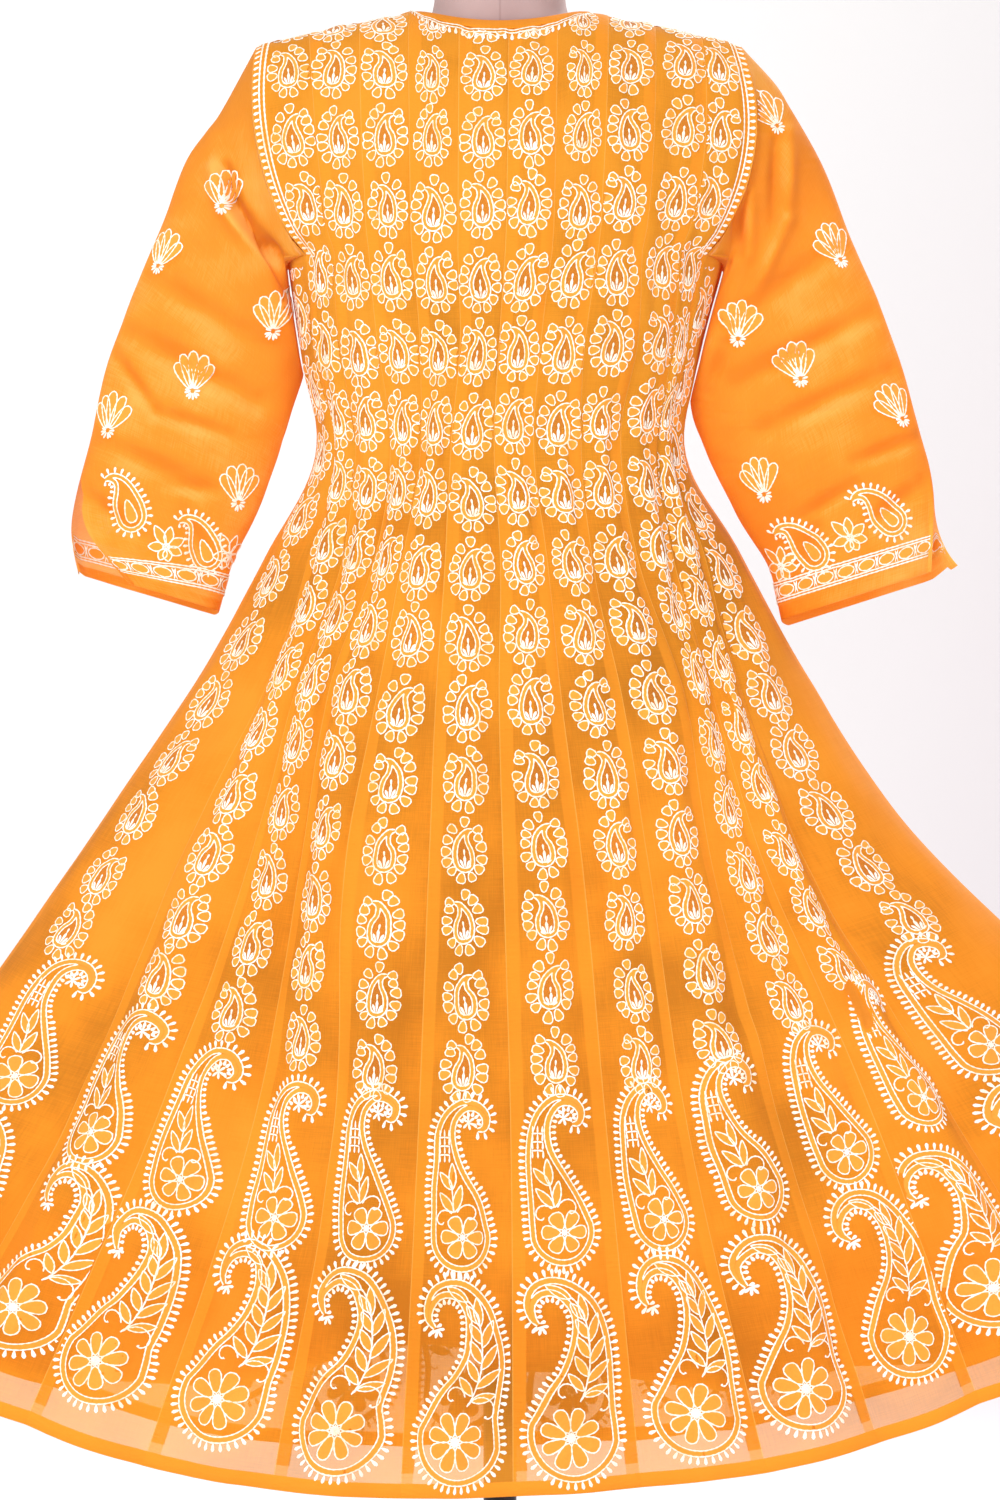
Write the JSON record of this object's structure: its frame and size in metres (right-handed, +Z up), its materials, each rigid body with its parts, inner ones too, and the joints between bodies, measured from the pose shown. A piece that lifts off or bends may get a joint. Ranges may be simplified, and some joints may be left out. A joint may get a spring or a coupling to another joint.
{
  "type": "anarkali gown on a dress form",
  "caption": "Flared many-gored anarkali gown with hanging three-quarter sleeves and embroidered motifs, worn by a limbless dress form on a pole with a round base.",
  "frame": {"origin": "centre of the stand base's underside, on the floor", "axes": "+Z up; the gown's back faces -Y and its front +Y; the wearer's left is -X"},
  "size_m": [1.2048, 0.38, 1.52],
  "materials": {
    "gown_cloth": "semi-sheer woven cotton, white thread embroidery",
    "lining_cloth": "plain fine woven lining",
    "form_cover": "smooth matte jersey cover",
    "stand_metal": "satin black"
  },
  "bodies": {
    "root": {"gore_back_l1": "gown_cloth", "gore_back_l2": "gown_cloth", "gore_back_l3": "gown_cloth", "gore_back_l4": "gown_cloth", "gore_back_l5": "gown_cloth", "gore_back_l6": "gown_cloth", "gore_back_r1": "gown_cloth", "gore_back_r2": "gown_cloth", "gore_back_r3": "gown_cloth", "gore_back_r4": "gown_cloth", "gore_back_r5": "gown_cloth", "gore_back_r6": "gown_cloth", "gore_front_l1": "gown_cloth", "gore_front_l2": "gown_cloth", "gore_front_l3": "gown_cloth", "gore_front_l4": "gown_cloth", "gore_front_l5": "gown_cloth", "gore_front_l6": "gown_cloth", "gore_front_r1": "gown_cloth", "gore_front_r2": "gown_cloth", "gore_front_r3": "gown_cloth", "gore_front_r4": "gown_cloth", "gore_front_r5": "gown_cloth", "gore_front_r6": "gown_cloth", "lining_back_l1": "lining_cloth", "lining_back_l2": "lining_cloth", "lining_back_l3": "lining_cloth", "lining_back_r1": "lining_cloth", "lining_back_r2": "lining_cloth", "lining_back_r3": "lining_cloth", "lining_front_l1": "lining_cloth", "lining_front_l2": "lining_cloth", "lining_front_l3": "lining_cloth", "lining_front_r1": "lining_cloth", "lining_front_r2": "lining_cloth", "lining_front_r3": "lining_cloth", "neck_band": "gown_cloth", "sleeve_l": "gown_cloth", "sleeve_r": "gown_cloth", "form_torso": "form_cover", "stand_pole": "stand_metal", "stand_base": "stand_metal"}
  },
  "joints": []
}
